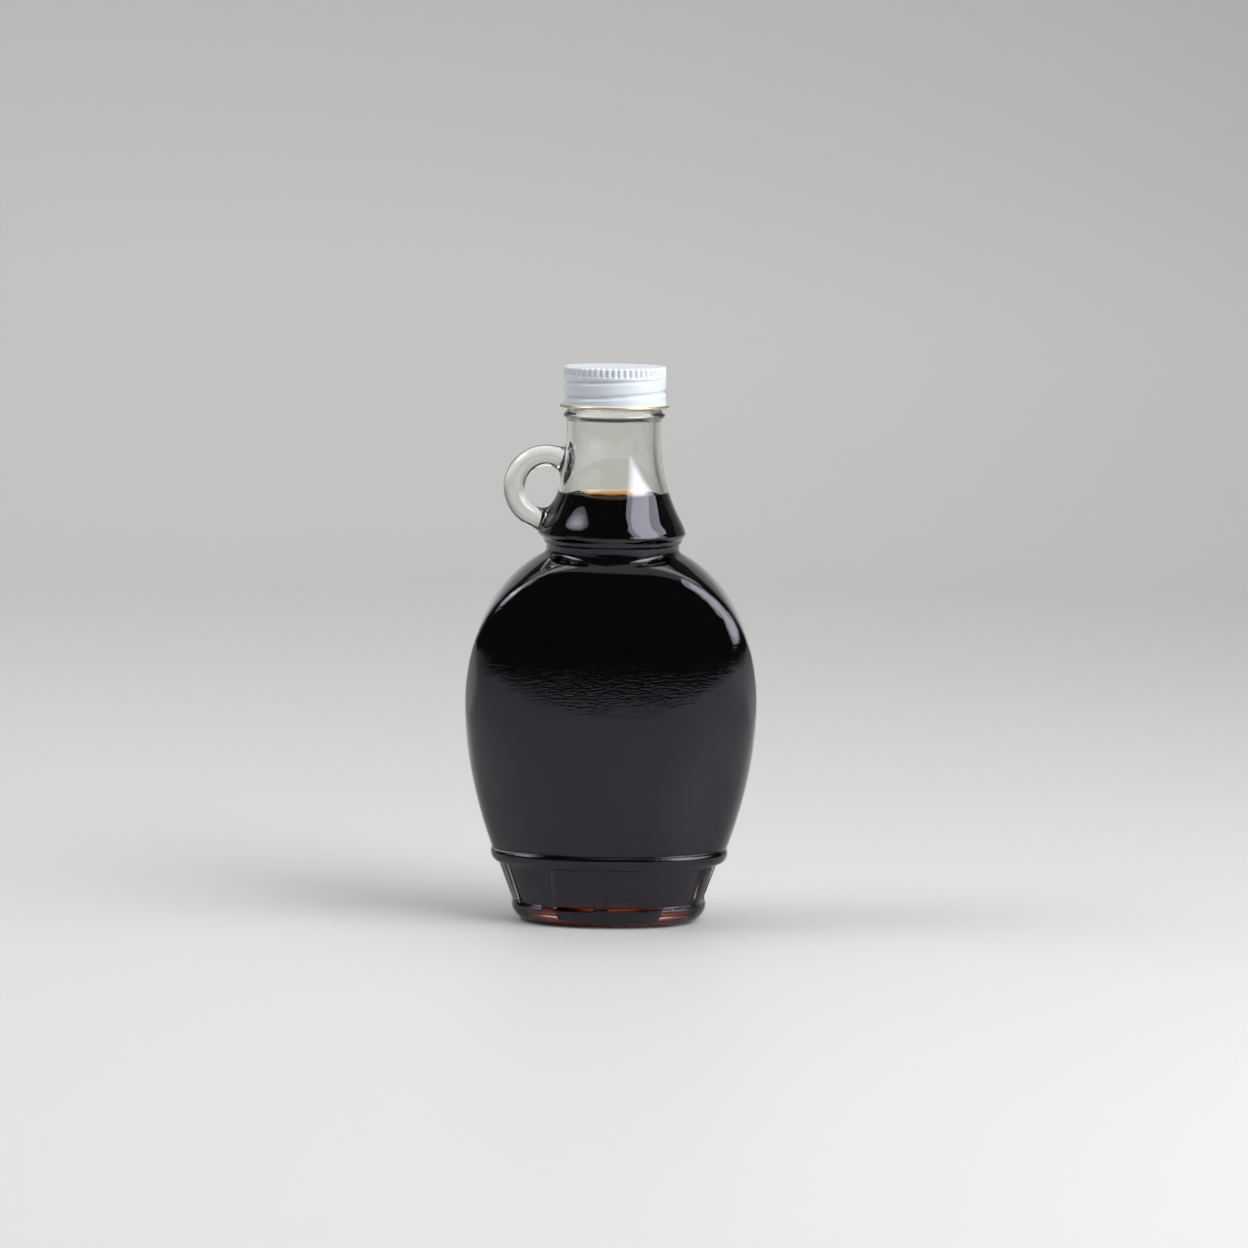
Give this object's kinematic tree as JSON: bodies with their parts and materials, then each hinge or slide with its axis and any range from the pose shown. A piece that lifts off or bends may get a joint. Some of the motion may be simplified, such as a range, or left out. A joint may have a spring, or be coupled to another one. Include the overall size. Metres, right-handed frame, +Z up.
{
  "type": "syrup bottle",
  "caption": "Clear glass syrup flask with an oval body, fluted heel and loop handle at the neck, filled with dark syrup and shut by a white metal screw cap.",
  "frame": {"origin": "middle of the base, on the surface that the bottle stands on", "axes": "+Z up to the cap; the front panel faces -Y and the loop handle is on the -X side of the neck"},
  "size_m": [0.0814, 0.0496, 0.1558],
  "materials": {
    "glass": "clear polished flint glass",
    "syrup": "dark amber syrup, nearly black in bulk",
    "cap": "white enamel, semi-gloss, with a bare gold-lacquered hem"
  },
  "bodies": {
    "root": {"bottle": "glass", "syrup": "syrup", "cap": "cap"}
  },
  "joints": []
}
